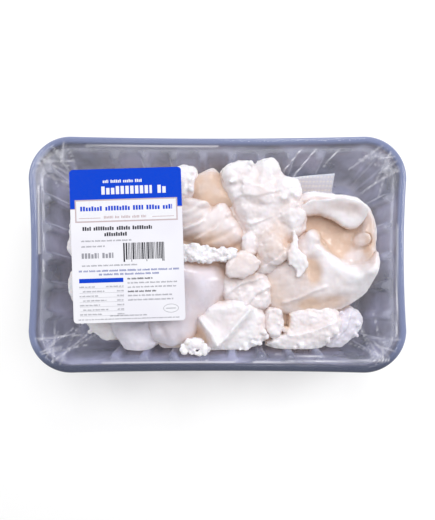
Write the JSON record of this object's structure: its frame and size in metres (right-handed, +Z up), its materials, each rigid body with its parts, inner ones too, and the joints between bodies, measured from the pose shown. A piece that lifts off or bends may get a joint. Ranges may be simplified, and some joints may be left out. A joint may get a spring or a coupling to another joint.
{
  "type": "sealed tray of desalted cod pieces",
  "caption": "Clear ribbed rectangular tray with rounded corners and a rolled flange, sealed with film over a heap of pale wet cod pieces, with a pad below and a paper label on top.",
  "frame": {"origin": "centre of the tray's footprint, on the surface it rests on", "axes": "+X along the tray's long side, towards the end away from the label; +Y towards the long side at the label's header; +Z up through the film"},
  "size_m": [0.23, 0.144, 0.0474],
  "materials": {
    "tray": "clear thermoformed plastic, glossy",
    "film": "clear lidding film, glossy and slightly creased",
    "label": "coated label paper, semi-gloss",
    "pad": "embossed absorbent tissue, matte",
    "cod": "wet translucent fish flesh, soft uneven gloss"
  },
  "bodies": {
    "root": {"tray": "tray", "film": "film", "label": "label", "pad": "pad", "cod_chip": "cod", "cod_crumb_front": "cod", "cod_crumble_corner": "cod", "cod_crumble_right": "cod", "cod_fillet_front": "cod", "cod_fillet_left": "cod", "cod_fillet_right": "cod", "cod_flake_strip": "cod", "cod_flake_upright": "cod", "cod_flap_front": "cod", "cod_fold_front": "cod", "cod_lump_centre": "cod", "cod_lump_corner": "cod", "cod_lump_front_left": "cod", "cod_lump_label": "cod", "cod_lump_left": "cod", "cod_lump_left_front": "cod", "cod_lump_rear": "cod", "cod_lump_rear_left": "cod"}
  },
  "joints": []
}
